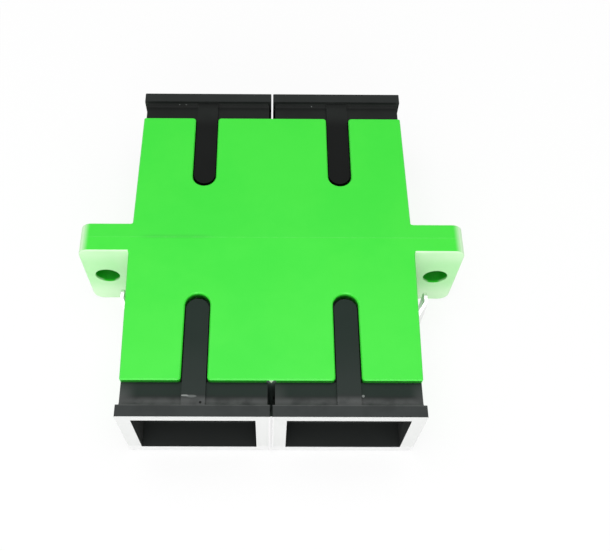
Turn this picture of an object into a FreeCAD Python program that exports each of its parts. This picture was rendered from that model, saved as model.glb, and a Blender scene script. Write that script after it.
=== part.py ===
"""Duplex SC fibre adapter with dust caps.

Frame: +X across the flange, +Y along the fibres from front to rear, +Z up through the face that
carries the key slots. The origin is the centre of the two welded housing halves. Millimetres.

Each sub-part is drawn for the front (-Y) side of the weld plane. Rear pieces are the same drawings,
turned half a turn about Z by their placements.
"""
import FreeCAD, Part
import Sketcher

import os

# Driving dimensions. Lengths in millimetres, angles in degrees.
SIZES = {
    # Housing halves.
    "housing_length": 27.2,
    "housing_height": 9.3,
    "front_root_width": 25.5,
    "front_end_width": 24.9,
    "rear_root_width": 25.2,
    "rear_end_width": 25.0,
    "housing_edge_chamfer": 0.1,
    "flange_width": 34.7,
    "flange_thickness": 2.9,
    "flange_corner_radius": 1.0,
    "mounting_hole_inset": 2.0,
    "mounting_hole_diameter": 2.3,
    # Ports and key slots.
    "port_pitch": 12.7,
    "port_width": 9.0,
    "port_height": 7.4,
    "key_slot_width": 2.2,
    "key_slot_length": 7.96,
    "key_slot_mouth_radius": 0.3,
    # Sleeve holders: plate, sleeve tube and latch arms.
    "plate_width": 10.4,
    "plate_height": 7.8,
    "plate_thickness": 1.0,
    "plate_clearance": 0.05,
    "tube_wall": 0.55,
    "tube_lip_length": 0.4,
    "tube_lip_bore": 2.9,
    "tube_lead_in": 0.25,
    "latch_reach": 9.5,
    "latch_thickness": 0.9,
    "latch_height": 2.6,
    "latch_flex_gap": 0.45,
    "latch_hook_depth": 0.4,
    "latch_hook_length": 1.3,
    "latch_hook_ramp": 0.8,
    # Split alignment sleeves.
    "ferrule_diameter": 2.5,
    "sleeve_wall": 0.35,
    "sleeve_length": 11.4,
    "sleeve_slit": 0.4,
    "sleeve_chamfer": 0.1,
    "sleeve_clearance": 0.05,
    # Dust caps.
    "cap_rim_gap": 0.17,
    "cap_rim_height": 9.15,
    "cap_rim_thickness": 1.0,
    "cap_neck_gap": 0.62,
    "cap_neck_height": 8.15,
    "cap_neck_length": 2.1,
    "cap_crease_radius": 0.42,
    "cap_edge_radius": 0.1,
    "cap_mouth_width": 10.14,
    "cap_mouth_height": 7.15,
    "cap_mouth_depth": 2.2,
    "cap_plug_clearance": 0.05,
    "cap_plug_end_gap": 0.1,
    "cap_plug_wall": 0.7,
    "cap_web_thickness": 0.8,
    "cap_web_gap": 0.4,
    "cap_key_clearance": 0.12,
    "cap_key_tip_gap": 0.42,
    "cap_key_drop": 0.27,
    "cap_window_gap": 0.3,
    # Spring clip in front of the flange.
    "clip_sheet": 0.3,
    "clip_clearance": 0.05,
    "clip_seat_width": 24.3,
    "clip_seat_depth": 0.4,
    "clip_seat_radius": 0.4,
    "clip_flange_gap": 1.1,
    "clip_band_length": 6.0,
    "clip_arm_top": 3.4,
    "clip_hook_depth": 0.7,
    "clip_bend_radius": 0.3,
    "clip_hook_radius": 0.1,
    "clip_root_strip": 1.0,
    "clip_wing_height": 4.6,
    "clip_wing_gap": 0.2,
    "clip_wing_length": 2.7,
    "clip_wing_tip": 1.1,
    "clip_wing_corner": 0.5,
    "clip_left_flare": 22.0,
    "clip_right_flare": 33.0,
}

# Expressions that several sub-parts share.
HOUSING_END = "(sizes.housing_length / 2)"
HOUSING_TOP = "(sizes.housing_height / 2)"
FLANGE_FACE = "(sizes.flange_thickness / 2)"
PORT_X = "(sizes.port_pitch / 2)"
KEY_CENTRE = f"({HOUSING_END} - sizes.key_slot_length + sizes.key_slot_width / 2)"
SLEEVE_RADIUS = "(sizes.ferrule_diameter / 2 + sizes.sleeve_wall)"
TUBE_BORE = f"({SLEEVE_RADIUS} + sizes.sleeve_clearance)"
TUBE_DEPTH = "(sizes.sleeve_length / 2 + sizes.sleeve_clearance)"
LATCH_OUTER = "(sizes.port_width / 2 - sizes.latch_flex_gap)"
LATCH_INNER = f"({LATCH_OUTER} - sizes.latch_thickness)"
CAP_RIM_WIDTH = "(sizes.port_pitch - sizes.cap_rim_gap)"
CAP_NECK_WIDTH = "(sizes.port_pitch - sizes.cap_neck_gap)"
CLIP_START = f"({FLANGE_FACE} + sizes.clip_flange_gap)"
CLIP_INNER = "(sizes.clip_seat_width / 2 + sizes.clip_clearance)"
CLIP_OUTER = f"({CLIP_INNER} + sizes.clip_sheet)"
CLIP_FLOOR = f"({HOUSING_TOP} - sizes.clip_seat_depth + sizes.clip_clearance)"

NEAR = 1e-4
ALONG_X = FreeCAD.Vector(1, 0, 0)
ALONG_Y = FreeCAD.Vector(0, 1, 0)
ALONG_Z = FreeCAD.Vector(0, 0, 1)

doc = FreeCAD.newDocument("sc_fibre_adapter")
sizes = doc.addObject("Spreadsheet::Sheet", "sizes")
for row, (alias, size) in enumerate(SIZES.items(), start=1):
    sizes.set(f"A{row}", alias)
    sizes.set(f"B{row}", str(size))
    sizes.setAlias(f"B{row}", alias)
doc.recompute()


def amount(expression):
    """The value of an expression on the sheet."""
    return float(sizes.evalExpression(expression))


def origin_plane(body, role):
    """One of the body's own origin planes."""
    return next(feature for feature in body.Origin.OriginFeatures if feature.Role == role)


def new_sketch(body, name, role, offset="0"):
    """A sketch on an origin plane of the body, moved along the plane's normal by offset."""
    sketch = body.newObject("Sketcher::SketchObject", f"{body.Name}_{name}")
    sketch.AttachmentSupport = [(origin_plane(body, role), "")]
    sketch.MapMode = "FlatFace"
    sketch.setExpression(".AttachmentOffset.Base.z", offset)
    return sketch


def pin_point(sketch, geometry, point, x, y):
    """Hold a point of the sketch at the expressions x and y from its origin."""
    for kind, expression in (("DistanceX", x), ("DistanceY", y)):
        constraint = Sketcher.Constraint(kind, -1, 1, geometry, point, amount(expression))
        index = sketch.addConstraint(constraint)
        sketch.setExpression(f"Constraints[{index}]", expression)


def draw_outline(sketch, corners):
    """A closed outline of straight lines through corners, each a pair of expressions."""
    points = [FreeCAD.Vector(amount(x), amount(y), 0) for x, y in corners]
    first = sketch.GeometryCount
    count = len(points)
    for step in range(count):
        sketch.addGeometry(Part.LineSegment(points[step], points[(step + 1) % count]))
    for step in range(count):
        following = first + (step + 1) % count
        sketch.addConstraint(Sketcher.Constraint("Coincident", first + step, 2, following, 1))
    for step, (x, y) in enumerate(corners):
        pin_point(sketch, first + step, 1, x, y)


def draw_rectangle(sketch, x, y, width, height):
    """A rectangle centred on x, y."""
    left = f"{x} - {width} / 2"
    right = f"{x} + {width} / 2"
    low = f"{y} - {height} / 2"
    high = f"{y} + {height} / 2"
    draw_outline(sketch, [(left, low), (right, low), (right, high), (left, high)])


def draw_circle(sketch, x, y, radius):
    """A circle centred on x, y."""
    centre = FreeCAD.Vector(amount(x), amount(y), 0)
    circle = sketch.addGeometry(Part.Circle(centre, FreeCAD.Vector(0, 0, 1), amount(radius)))
    pin_point(sketch, circle, 3, x, y)
    index = sketch.addConstraint(Sketcher.Constraint("Radius", circle, amount(radius)))
    sketch.setExpression(f"Constraints[{index}]", radius)


def pad(body, sketch, length, symmetric=False):
    """Add the sketch's outline to the body, along the sketch's normal."""
    feature = body.newObject("PartDesign::Pad", f"{sketch.Name}_pad")
    feature.Profile = sketch
    feature.SideType = "Symmetric" if symmetric else "One side"
    feature.setExpression("Length", length)
    doc.recompute()
    if not feature.isValid():
        raise RuntimeError(f"{feature.Name} fails")
    return feature


def pocket(body, sketch, length=None, along_normal=True, symmetric=False):
    """Cut the sketch's outline out of the body. With no length it goes right through."""
    before = body.Shape.Volume
    feature = body.newObject("PartDesign::Pocket", f"{sketch.Name}_pocket")
    feature.Profile = sketch
    feature.SideType = "Symmetric" if symmetric else "One side"
    feature.Reversed = along_normal
    if length is None:
        feature.Type = "ThroughAll"
    else:
        feature.setExpression("Length", length)
    doc.recompute()
    if not feature.isValid() or body.Shape.Volume > before - NEAR:
        raise RuntimeError(f"{feature.Name} fails or cuts nothing")
    return feature


def near(a, b):
    return abs(a - b) < NEAR


def edges_where(shape, wanted, along):
    """Names of the edges whose ends satisfy wanted(x, y, z). With along, only those parallel to it."""
    names = []
    for number, edge in enumerate(shape.Edges, start=1):
        ends = [vertex.Point for vertex in edge.Vertexes]
        if not all(wanted(end.x, end.y, end.z) for end in ends):
            continue
        if along is None or near((ends[0] - ends[-1]).cross(along).Length, 0):
            names.append(f"Edge{number}")
    return names


def dress_edges(body, kind, name, size, wanted, along=None):
    """Fillet or chamfer the edges of the body that wanted picks out."""
    base = body.Tip
    names = edges_where(base.Shape, wanted, along)
    feature = body.newObject(f"PartDesign::{kind}", f"{body.Name}_{name}")
    feature.Base = (base, names)
    feature.setExpression("Radius" if kind == "Fillet" else "Size", size)
    doc.recompute()
    if not names or not feature.isValid():
        raise RuntimeError(f"{feature.Name} fails on {names}")
    return feature


def new_body(name):
    """A sub-part: its label names the node."""
    body = doc.addObject("PartDesign::Body", name)
    body.Label = name
    return body


def place(body, x="0", rear=False):
    """Move a body across to x, and turn a rear piece half a turn about Z."""
    body.setExpression(".Placement.Base.x", x)
    if rear:
        body.Placement.Rotation = FreeCAD.Rotation(FreeCAD.Vector(0, 0, 1), 180)


def housing_half(name, root_width, end_width, rear, with_clip_seat):
    """Half of the flange, both ports and both key slots."""
    body = new_body(name)

    plan = new_sketch(body, "plan", "XY_Plane")
    left = [
        ("-sizes.flange_width / 2", "0"),
        ("-sizes.flange_width / 2", f"-{FLANGE_FACE}"),
        (f"-{root_width} / 2", f"-{FLANGE_FACE}"),
        (f"-{end_width} / 2", f"-{HOUSING_END}"),
    ]
    right = [(x[1:], y) for x, y in reversed(left)]
    draw_outline(plan, left + right)
    pad(body, plan, "sizes.housing_height", symmetric=True)

    ear_end = amount("sizes.flange_width / 2")
    top = amount(HOUSING_TOP)
    dress_edges(body, "Fillet", "flange_corners", "sizes.flange_corner_radius",
                lambda x, y, z: near(abs(x), ear_end) and near(abs(z), top), ALONG_Y)

    ports = new_sketch(body, "ports", "XZ_Plane")
    seats = new_sketch(body, "plate_seats", "XZ_Plane")
    slots = new_sketch(body, "key_slots", "XY_Plane")
    slot_ends = new_sketch(body, "key_slot_ends", "XY_Plane")
    holes = new_sketch(body, "mounting_holes", "XZ_Plane")
    for side in ("", "-"):
        centre = f"{side}{PORT_X}"
        seat_width = "(sizes.plate_width + 2 * sizes.plate_clearance)"
        seat_height = "(sizes.plate_height + 2 * sizes.plate_clearance)"
        draw_rectangle(ports, centre, "0", "sizes.port_width", "sizes.port_height")
        draw_rectangle(seats, centre, "0", seat_width, seat_height)
        slot_left = f"{centre} - sizes.key_slot_width / 2"
        slot_right = f"{centre} + sizes.key_slot_width / 2"
        mouth = f"-{HOUSING_END} - sizes.key_slot_width"
        draw_outline(slots, [(slot_left, mouth), (slot_right, mouth),
                             (slot_right, f"-{KEY_CENTRE}"), (slot_left, f"-{KEY_CENTRE}")])
        draw_circle(slot_ends, centre, f"-{KEY_CENTRE}", "sizes.key_slot_width / 2")
        hole_x = f"{side}(sizes.flange_width / 2 - sizes.mounting_hole_inset)"
        draw_circle(holes, hole_x, "0", "sizes.mounting_hole_diameter / 2")
    pocket(body, ports)
    pocket(body, seats, "sizes.plate_thickness")
    pocket(body, slots)
    pocket(body, slot_ends)
    pocket(body, holes, FLANGE_FACE)

    end = amount(HOUSING_END)
    port_x = amount(PORT_X)
    slot_half = amount("sizes.key_slot_width / 2")
    dress_edges(body, "Fillet", "slot_mouths", "sizes.key_slot_mouth_radius",
                lambda x, y, z: near(y, -end) and z > 0 and near(abs(abs(x) - port_x), slot_half),
                ALONG_Z)

    flange_face = amount(FLANGE_FACE)
    corner = amount(f"{end_width} / 2")
    dress_edges(body, "Chamfer", "outer_edges", "sizes.housing_edge_chamfer",
                lambda x, y, z: y < NEAR - flange_face and (near(abs(z), top) or near(abs(x), corner)))

    if with_clip_seat:
        cut_clip_seat(body)
    place(body, rear=rear)
    return body


def cut_clip_seat(body):
    """A shallow channel round the bottom and sides for the clip, with a notch for each hook."""
    seat = new_sketch(body, "clip_seat", "XZ_Plane", f"{CLIP_START} - sizes.clip_clearance")
    beyond = "sizes.front_root_width"
    below = "-sizes.housing_height"
    wall = "sizes.clip_seat_width / 2"
    floor = f"-({HOUSING_TOP} - sizes.clip_seat_depth)"
    notch_top = "(sizes.clip_arm_top + sizes.clip_clearance)"
    notch_bottom = "(sizes.clip_arm_top - sizes.clip_sheet - sizes.clip_clearance)"
    notch_end = "(sizes.clip_seat_width / 2 - sizes.clip_hook_depth - sizes.clip_clearance)"
    draw_outline(seat, [
        (beyond, notch_top), (notch_end, notch_top), (notch_end, notch_bottom), (wall, notch_bottom),
        (wall, floor), (f"-{wall}", floor), (f"-{wall}", notch_bottom), (f"-{notch_end}", notch_bottom),
        (f"-{notch_end}", notch_top), (f"-{beyond}", notch_top), (f"-{beyond}", below), (beyond, below),
    ])
    pocket(body, seat, "sizes.clip_band_length + 2 * sizes.clip_clearance")
    wall_x = amount(wall)
    floor_z = amount(floor)
    dress_edges(body, "Fillet", "clip_seat_corners", "sizes.clip_seat_radius",
                lambda x, y, z: near(abs(x), wall_x) and near(z, floor_z), ALONG_Y)


def sleeve_holder(name, centre, rear):
    """Plate, half of the sleeve tube, and two latch arms with hooks."""
    body = new_body(name)
    plate = new_sketch(body, "plate", "XZ_Plane")
    draw_rectangle(plate, "0", "0", "sizes.plate_width", "sizes.plate_height")
    pad(body, plate, "sizes.plate_thickness")

    tube = new_sketch(body, "tube", "XZ_Plane")
    draw_circle(tube, "0", "0", f"{TUBE_BORE} + sizes.tube_wall")
    pad(body, tube, f"{TUBE_DEPTH} + sizes.tube_lip_length")

    arms = new_sketch(body, "latch_arms", "XZ_Plane")
    hooks = new_sketch(body, "latch_hooks", "XY_Plane")
    for side in ("", "-"):
        inner = f"{side}{LATCH_INNER}"
        outer = f"{side}{LATCH_OUTER}"
        nose = f"{side}({LATCH_INNER} - sizes.latch_hook_depth)"
        low = "-sizes.latch_height / 2"
        high = "sizes.latch_height / 2"
        draw_outline(arms, [(inner, low), (outer, low), (outer, high), (inner, high)])
        catch = "-(sizes.latch_reach - sizes.latch_hook_length)"
        ramp = "-(sizes.latch_reach - sizes.latch_hook_ramp)"
        draw_outline(hooks, [(inner, "-sizes.latch_reach"), (nose, ramp), (nose, catch),
                             (outer, catch), (outer, "-sizes.latch_reach")])
    pad(body, arms, "sizes.latch_reach")
    pad(body, hooks, "sizes.latch_height", symmetric=True)

    bore = new_sketch(body, "bore", "XZ_Plane")
    draw_circle(bore, "0", "0", TUBE_BORE)
    pocket(body, bore, TUBE_DEPTH)
    lip = new_sketch(body, "lip", "XZ_Plane")
    draw_circle(lip, "0", "0", "sizes.tube_lip_bore / 2")
    pocket(body, lip)
    mouth = amount(f"{TUBE_DEPTH} + sizes.tube_lip_length")
    lip_radius = amount("sizes.tube_lip_bore / 2")
    dress_edges(body, "Chamfer", "lip_lead_in", "sizes.tube_lead_in",
                lambda x, y, z: near(y, -mouth) and near(x * x + z * z, lip_radius ** 2))
    place(body, centre, rear)
    return body


def split_sleeve(name, centre):
    """Zirconia tube with one slit along its top, sprung on to the two ferrules."""
    body = new_body(name)
    ring = new_sketch(body, "ring", "XZ_Plane")
    draw_circle(ring, "0", "0", SLEEVE_RADIUS)
    draw_circle(ring, "0", "0", "sizes.ferrule_diameter / 2")
    pad(body, ring, "sizes.sleeve_length", symmetric=True)
    bore_radius = amount("sizes.ferrule_diameter / 2")
    dress_edges(body, "Chamfer", "bore_chamfers", "sizes.sleeve_chamfer",
                lambda x, y, z: near(x * x + z * z, bore_radius ** 2))
    slit = new_sketch(body, "slit", "XY_Plane")
    draw_rectangle(slit, "0", "0", "sizes.sleeve_slit", "2 * sizes.sleeve_length")
    pocket(body, slit)
    place(body, centre)
    return body


def dust_cap(name, centre, rear):
    """Rim and neck outside the port, a plug in it, and a key rib from the rim into the key slot."""
    body = new_body(name)
    neck_end = f"({HOUSING_END} + sizes.cap_neck_length)"
    rim_face = f"({neck_end} + sizes.cap_rim_thickness)"
    plug_end = f"({HOUSING_END} - sizes.key_slot_length + sizes.cap_plug_end_gap)"
    plug_width = "(sizes.port_width - 2 * sizes.cap_plug_clearance)"
    plug_height = "(sizes.port_height - 2 * sizes.cap_plug_clearance)"
    hollow_width = f"({plug_width} - 2 * sizes.cap_plug_wall)"
    hollow_height = f"({plug_height} - 2 * sizes.cap_plug_wall)"
    web_inner = "(sizes.latch_reach + sizes.cap_web_gap)"
    web_outer = f"({web_inner} + sizes.cap_web_thickness)"

    plug = new_sketch(body, "plug", "XZ_Plane", plug_end)
    draw_rectangle(plug, "0", "0", plug_width, plug_height)
    pad(body, plug, f"{neck_end} - {plug_end}")
    neck = new_sketch(body, "neck", "XZ_Plane", HOUSING_END)
    draw_rectangle(neck, "0", "0", CAP_NECK_WIDTH, "sizes.cap_neck_height")
    pad(body, neck, "sizes.cap_neck_length")
    rim = new_sketch(body, "rim", "XZ_Plane", neck_end)
    draw_rectangle(rim, "0", "0", CAP_RIM_WIDTH, "sizes.cap_rim_height")
    pad(body, rim, "sizes.cap_rim_thickness")

    crease_y = amount(neck_end)
    neck_top = amount("sizes.cap_neck_height / 2")
    dress_edges(body, "Fillet", "crease", "sizes.cap_crease_radius",
                lambda x, y, z: near(y, -crease_y) and near(abs(z), neck_top), ALONG_X)
    rim_side = amount(f"{CAP_RIM_WIDTH} / 2")
    rim_top = amount("sizes.cap_rim_height / 2")
    dress_edges(body, "Fillet", "rim_edges", "sizes.cap_edge_radius",
                lambda x, y, z: near(abs(x), rim_side) and near(abs(z), rim_top), ALONG_Y)

    plug_top = f"({plug_height} / 2)"
    rib_height = f"{HOUSING_TOP} - sizes.cap_key_drop - {plug_top}"
    rib_width = "(sizes.key_slot_width - 2 * sizes.cap_key_clearance)"
    rib_centre = f"({HOUSING_END} - sizes.key_slot_length + sizes.cap_key_tip_gap + {rib_width} / 2)"
    rib = new_sketch(body, "key_rib", "XY_Plane", plug_top)
    draw_outline(rib, [(f"-{rib_width} / 2", f"-{neck_end}"), (f"{rib_width} / 2", f"-{neck_end}"),
                       (f"{rib_width} / 2", f"-{rib_centre}"), (f"-{rib_width} / 2", f"-{rib_centre}")])
    pad(body, rib, rib_height)
    rib_end = new_sketch(body, "key_rib_end", "XY_Plane", plug_top)
    draw_circle(rib_end, "0", f"-{rib_centre}", f"{rib_width} / 2")
    pad(body, rib_end, rib_height)

    mouth = new_sketch(body, "mouth", "XZ_Plane", rim_face)
    draw_rectangle(mouth, "0", "0", "sizes.cap_mouth_width", "sizes.cap_mouth_height")
    pocket(body, mouth, "sizes.cap_mouth_depth", along_normal=False)
    well = new_sketch(body, "well", "XZ_Plane", rim_face)
    draw_rectangle(well, "0", "0", hollow_width, hollow_height)
    pocket(body, well, f"{rim_face} - {web_outer}", along_normal=False)
    skirt = new_sketch(body, "skirt", "XZ_Plane", web_inner)
    draw_rectangle(skirt, "0", "0", hollow_width, hollow_height)
    pocket(body, skirt, f"{web_inner} - {plug_end}", along_normal=False)
    windows = new_sketch(body, "latch_windows", "YZ_Plane")
    window_top = "(sizes.latch_height / 2 + sizes.cap_window_gap)"
    draw_outline(windows, [(f"-{web_inner}", f"-{window_top}"), (f"-{FLANGE_FACE}", f"-{window_top}"),
                           (f"-{FLANGE_FACE}", window_top), (f"-{web_inner}", window_top)])
    pocket(body, windows, "2 * sizes.port_width", symmetric=True)
    place(body, centre, rear)
    return body


def panel_clip(name):
    """Spring steel band under the housing, with two arms, hooks and sprung wings."""
    body = new_body(name)
    arm_top = "sizes.clip_arm_top"
    hook_under = f"({arm_top} - sizes.clip_sheet)"
    hook_end = f"({CLIP_INNER} - sizes.clip_hook_depth)"
    under = f"({CLIP_FLOOR} + sizes.clip_sheet)"

    band = new_sketch(body, "band", "XZ_Plane", CLIP_START)
    right = [
        (hook_end, arm_top), (CLIP_OUTER, arm_top), (CLIP_OUTER, f"-{under}"),
    ]
    right_inside = [
        (CLIP_INNER, f"-{CLIP_FLOOR}"), (CLIP_INNER, hook_under), (hook_end, hook_under),
    ]
    left = [(f"-{x}", z) for x, z in reversed(right)]
    left_inside = [(f"-{x}", z) for x, z in reversed(right_inside)]
    draw_outline(band, right + left + left_inside + right_inside)
    pad(body, band, "sizes.clip_band_length")

    outer_x = amount(CLIP_OUTER)
    inner_x = amount(CLIP_INNER)
    top_z = amount(arm_top)
    dress_edges(body, "Fillet", "outer_bends", "sizes.clip_bend_radius + sizes.clip_sheet",
                lambda x, y, z: near(abs(x), outer_x) and z < 0, ALONG_Y)
    dress_edges(body, "Fillet", "inner_bends", "sizes.clip_bend_radius",
                lambda x, y, z: near(abs(x), inner_x) and z < 0, ALONG_Y)
    dress_edges(body, "Fillet", "outer_hook_bends", "sizes.clip_hook_radius + sizes.clip_sheet",
                lambda x, y, z: near(abs(x), outer_x) and near(z, top_z), ALONG_Y)
    dress_edges(body, "Fillet", "inner_hook_bends", "sizes.clip_hook_radius",
                lambda x, y, z: near(abs(x), inner_x) and z > 0, ALONG_Y)

    root_y = f"(-({CLIP_START} + sizes.clip_band_length - sizes.clip_root_strip))"
    window = new_sketch(body, "wing_windows", "YZ_Plane")
    window_length = "(sizes.clip_wing_length + sizes.clip_wing_tip + sizes.clip_wing_gap)"
    window_top = "(sizes.clip_wing_height / 2 + sizes.clip_wing_gap)"
    draw_outline(window, [(root_y, f"-{window_top}"), (f"{root_y} + {window_length}", f"-{window_top}"),
                          (f"{root_y} + {window_length}", window_top), (root_y, window_top)])
    pocket(body, window, "2 * sizes.clip_seat_width", symmetric=True)

    wings = new_sketch(body, "wings", "XY_Plane")
    for side, flare in (("", "sizes.clip_right_flare"), ("-", "sizes.clip_left_flare")):
        bend_x = f"({CLIP_OUTER} + sizes.clip_wing_length * sin({flare}))"
        bend_y = f"({root_y} + sizes.clip_wing_length * cos({flare}))"
        tip_y = f"({bend_y} + sizes.clip_wing_tip)"
        inset = f"sizes.clip_sheet * tan({flare} / 2)"
        draw_outline(wings, [
            (f"{side}{CLIP_INNER}", f"{root_y} - sizes.clip_sheet"),
            (f"{side}{CLIP_OUTER}", f"{root_y} - sizes.clip_sheet"),
            (f"{side}{CLIP_OUTER}", root_y),
            (f"{side}{bend_x}", bend_y),
            (f"{side}{bend_x}", tip_y),
            (f"{side}({bend_x} - sizes.clip_sheet)", tip_y),
            (f"{side}({bend_x} - sizes.clip_sheet)", f"{bend_y} + {inset}"),
            (f"{side}{CLIP_INNER}", f"{root_y} + {inset}"),
        ])
    pad(body, wings, "sizes.clip_wing_height", symmetric=True)
    wing_top = amount("sizes.clip_wing_height / 2")
    for side, flare in ((1, "sizes.clip_right_flare"), (-1, "sizes.clip_left_flare")):
        tip = amount(f"{root_y} + sizes.clip_wing_length * cos({flare}) + sizes.clip_wing_tip")
        dress_edges(body, "Fillet", f"wing_corners_{side + 1}", "sizes.clip_wing_corner",
                    lambda x, y, z: side * x > 0 and near(y, tip) and near(abs(z), wing_top), ALONG_X)
    return body


nodes = [
    housing_half("housing_front", "sizes.front_root_width", "sizes.front_end_width", False, True),
    housing_half("housing_rear", "sizes.rear_root_width", "sizes.rear_end_width", True, False),
    panel_clip("panel_clip"),
]
for end_name, is_rear in (("front", False), ("rear", True)):
    for side_name, port_centre in (("left", f"-{PORT_X}"), ("right", PORT_X)):
        nodes.append(sleeve_holder(f"holder_{end_name}_{side_name}", port_centre, is_rear))
        nodes.append(dust_cap(f"cap_{end_name}_{side_name}", port_centre, is_rear))
nodes.append(split_sleeve("sleeve_left", f"-{PORT_X}"))
nodes.append(split_sleeve("sleeve_right", PORT_X))

doc.recompute()
for item in doc.Objects:
    if "Invalid" in item.State or "Error" in item.State:
        raise RuntimeError(f"{item.Name} failed: {item.State}")
for node in nodes:
    if node.Shape.isNull() or not node.Shape.isValid() or len(node.Shape.Solids) != 1:
        raise RuntimeError(f"{node.Label} is not one valid solid")

os.makedirs("parts", exist_ok=True)
for node in nodes:
    node.Shape.exportStep(f"parts/{node.Label}.step")
    box = node.Shape.BoundBox
    print(f"{node.Label}: {node.Shape.Volume:.1f} mm3, x {box.XMin:.2f} {box.XMax:.2f}, "
          f"y {box.YMin:.2f} {box.YMax:.2f}, z {box.ZMin:.2f} {box.ZMax:.2f}")
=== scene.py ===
"""Finishes, small marks and stage for a duplex SC fibre adapter with dust caps.

The adapter lies flat with its key slots up. +X runs across the flange, +Y along the fibres towards
the rear and +Z up. Lengths are in metres.
"""

import bpy
from bpy.props import FloatProperty, FloatVectorProperty, PointerProperty
from mathutils import Matrix, Vector


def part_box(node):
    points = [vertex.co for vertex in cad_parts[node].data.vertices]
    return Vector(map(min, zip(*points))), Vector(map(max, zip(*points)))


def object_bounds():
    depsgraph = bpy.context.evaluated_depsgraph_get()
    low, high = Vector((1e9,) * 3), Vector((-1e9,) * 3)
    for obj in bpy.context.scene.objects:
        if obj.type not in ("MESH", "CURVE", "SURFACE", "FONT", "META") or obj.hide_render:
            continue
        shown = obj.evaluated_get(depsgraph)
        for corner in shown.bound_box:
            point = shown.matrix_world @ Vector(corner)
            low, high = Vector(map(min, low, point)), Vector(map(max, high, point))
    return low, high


bl_info = {
    "name": "Fibre adapter finishes",
    "version": (1, 0, 0),
    "blender": (4, 5, 0),
    "location": "3D View > Sidebar > Adapter",
    "description": "Dresses a duplex fibre adapter: mouldings, dust caps, sleeves, spring clip and stage",
    "category": "Object",
}

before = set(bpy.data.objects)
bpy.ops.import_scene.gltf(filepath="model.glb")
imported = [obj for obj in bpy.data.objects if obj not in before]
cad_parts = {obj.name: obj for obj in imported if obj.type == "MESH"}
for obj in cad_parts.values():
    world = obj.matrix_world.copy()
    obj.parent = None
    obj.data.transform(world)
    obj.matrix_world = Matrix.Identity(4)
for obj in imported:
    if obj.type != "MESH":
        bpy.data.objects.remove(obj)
CAD_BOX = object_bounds()

MM = 0.001
ENDS = ("front", "rear")
SIDES = ("left", "right")
PORTS = [(end, side) for end in ENDS for side in SIDES]

# Places on the part. A pair of places is where a tone starts to change and where the change is
# complete, and a pair of shares is the strength of the tone at those two.
PORT_X = 6.35 * MM
SLOT_REACH = 1.3 * MM
HOUSING_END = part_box("housing_rear")[1].y
END_SKIN = 0.2 * MM
EAR_START = 12.8 * MM
FLANGE_END = CAD_BOX[1].x
FLANGE_HALF = 1.45 * MM
HOLE_X = FLANGE_END - 2.0 * MM
HOLE_RADIUS = 1.15 * MM
BETWEEN_CAPS = 0.45 * MM
BETWEEN_ENDS = (BETWEEN_CAPS, BETWEEN_CAPS - 0.1 * MM)
BETWEEN_WALLS = (BETWEEN_CAPS, BETWEEN_CAPS - 0.05 * MM)
RIM_FACE = CAD_BOX[1].y - 0.06 * MM
RIM_BACK = CAD_BOX[1].y - 1.0 * MM
WELL_HALF_WIDTH = 5.08 * MM
WELL_HALF_HEIGHT = 3.585 * MM
WELL_START = 10.0 * MM

# Green housing.
GREEN_DRIFT = 7 * MM
GREEN_SCRATCHES = 0.35
GREEN_GRAIN = 0.08
GREEN_WEAR = 0.10
GREEN_SWING = 0.12
GREEN_SCRATCH_ROUGHNESS = 0.25
GREEN_WEAR_ROUGHNESS = -0.08
GREEN_BETWEEN_ROUGHNESS = 0.5
REAR_HALF = (-0.05 * MM, 0.05 * MM)
REAR_DARKENING = 0.10
SEAM_Y = 0.07 * MM
SEAM_FADE = (0.34 * MM, 0.04 * MM)
SEAM_STRENGTH = 0.42
SEAM_ELSEWHERE = 0.05
SEAM_DEPTH = 0.003 * MM
TRIMMED_START = -10.5 * MM
TRIMMED_END = -6.6 * MM
TRIMMED_FADE = 1.8 * MM
SLOT_EDGE = 0.02 * MM
SLOT_START = (5.3 * MM, 5.5 * MM)
# Painted shade on the key slots' walls and on the housing's ends above the caps.
SLOT_SHADE = (4.6 * MM, 4.1 * MM)
SLOT_DARKNESS = 0.8
UPPER_END = (3.95 * MM, 4.1 * MM)
UPPER_END_DARKNESS = 0.75
BURR_HALF = (0.25 * MM, 0.15 * MM)
BURR_START = 3.95 * MM
BURR_SLOPE = 3.0
# Painted sheen on the flange's ears: pale where they don't face up or down and on the tips, greener across
# the middle height.
EAR_TIP = (FLANGE_END - 1.0 * MM, FLANGE_END - 0.3 * MM)
EAR_TIP_PALENESS = 0.85
EAR_LOW = (-3.4 * MM, -0.8 * MM)
EAR_HIGH = (4.2 * MM, 2.0 * MM)
EAR_HIGH_LEAST = 0.35
EAR_INNER = (EAR_START + 0.2 * MM, EAR_START + 1.8 * MM)
EAR_GREEN = (0.08, 0.27)
EAR_CLOUD = 2.5 * MM
EAR_CLOUD_RANGE = (0.3, 0.7)
EAR_CLOUD_STRENGTH = 0.06
# Painted shade inside the mounting holes.
BORE_EDGE = (HOLE_RADIUS + 0.04 * MM, HOLE_RADIUS + 0.01 * MM)
BORE_DEPTH = (FLANGE_HALF - 0.05 * MM, FLANGE_HALF - 0.28 * MM)

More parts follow.
